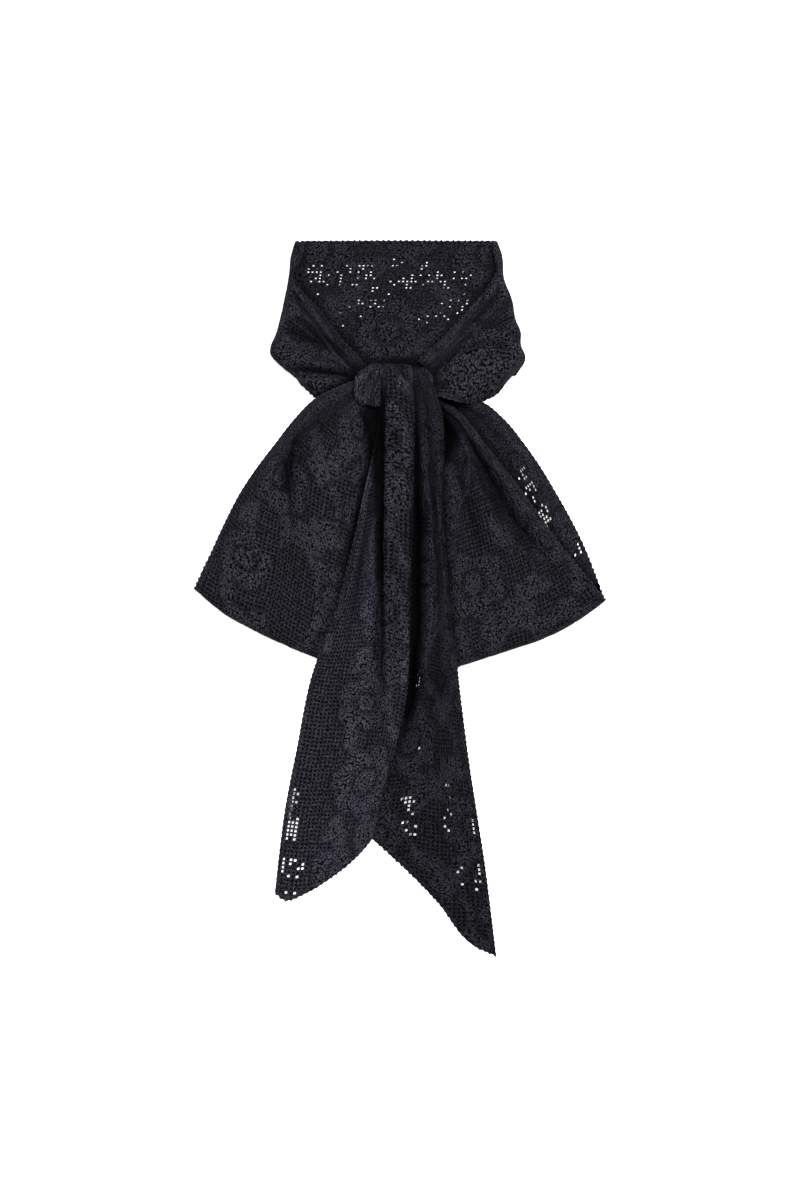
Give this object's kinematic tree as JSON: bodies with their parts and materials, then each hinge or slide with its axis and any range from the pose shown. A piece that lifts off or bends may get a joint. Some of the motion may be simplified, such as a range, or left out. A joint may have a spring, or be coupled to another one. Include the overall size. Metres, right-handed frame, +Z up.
{
  "type": "tie scarf",
  "caption": "Long black corded-lace scarf, tied in a drooping bow with a neck loop and slanted tails, laid flat.",
  "frame": {"origin": "on the surface that the scarf lies on, under the middle of its outline seen from above", "axes": "+Y from the tails to the neck loop, along the scarf's length; +X to the right as the bow faces the viewer from above; +Z up, away from the surface, out of the front of the bow"},
  "size_m": [0.3691, 0.6452, 0.0404],
  "materials": {
    "black_lace": "matte corded cotton lace"
  },
  "bodies": {
    "root": {"neck_back": "black_lace", "neck_front_left": "black_lace", "neck_front_right": "black_lace", "bow_loop_left": "black_lace", "bow_loop_right": "black_lace", "knot": "black_lace", "tail_left": "black_lace", "tail_right": "black_lace"}
  },
  "joints": []
}
